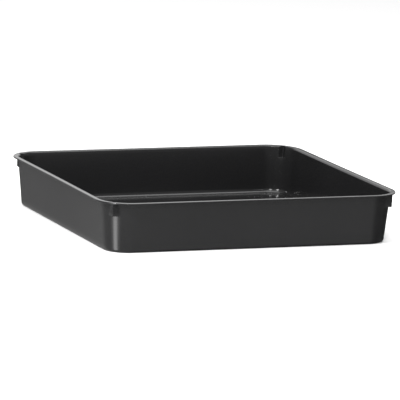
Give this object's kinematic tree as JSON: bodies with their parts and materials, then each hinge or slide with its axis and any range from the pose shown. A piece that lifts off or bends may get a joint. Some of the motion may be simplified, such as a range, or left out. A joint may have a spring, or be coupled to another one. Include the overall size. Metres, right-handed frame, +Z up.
{
  "type": "paint roller tray",
  "caption": "Shallow rectangular open-topped tray with outward-sloping walls, wide rounded corners, a flat outward rim and hollow stacking lugs under the rim at the corners",
  "frame": {"origin": "centre of the flat underside of the floor, where the tray rests on a table", "axes": "+Z up out of the open mouth, +X along the longer sides of the rim, +Y across the tray; all four walls are alike, so +Y and -Y ends are interchangeable"},
  "size_m": [0.4, 0.38, 0.064],
  "materials": {
    "tray_plastic": "semi-gloss black moulded polypropylene with a fine mould grain and light scuffs"
  },
  "bodies": {
    "root": {"tray": "tray_plastic"}
  },
  "joints": []
}
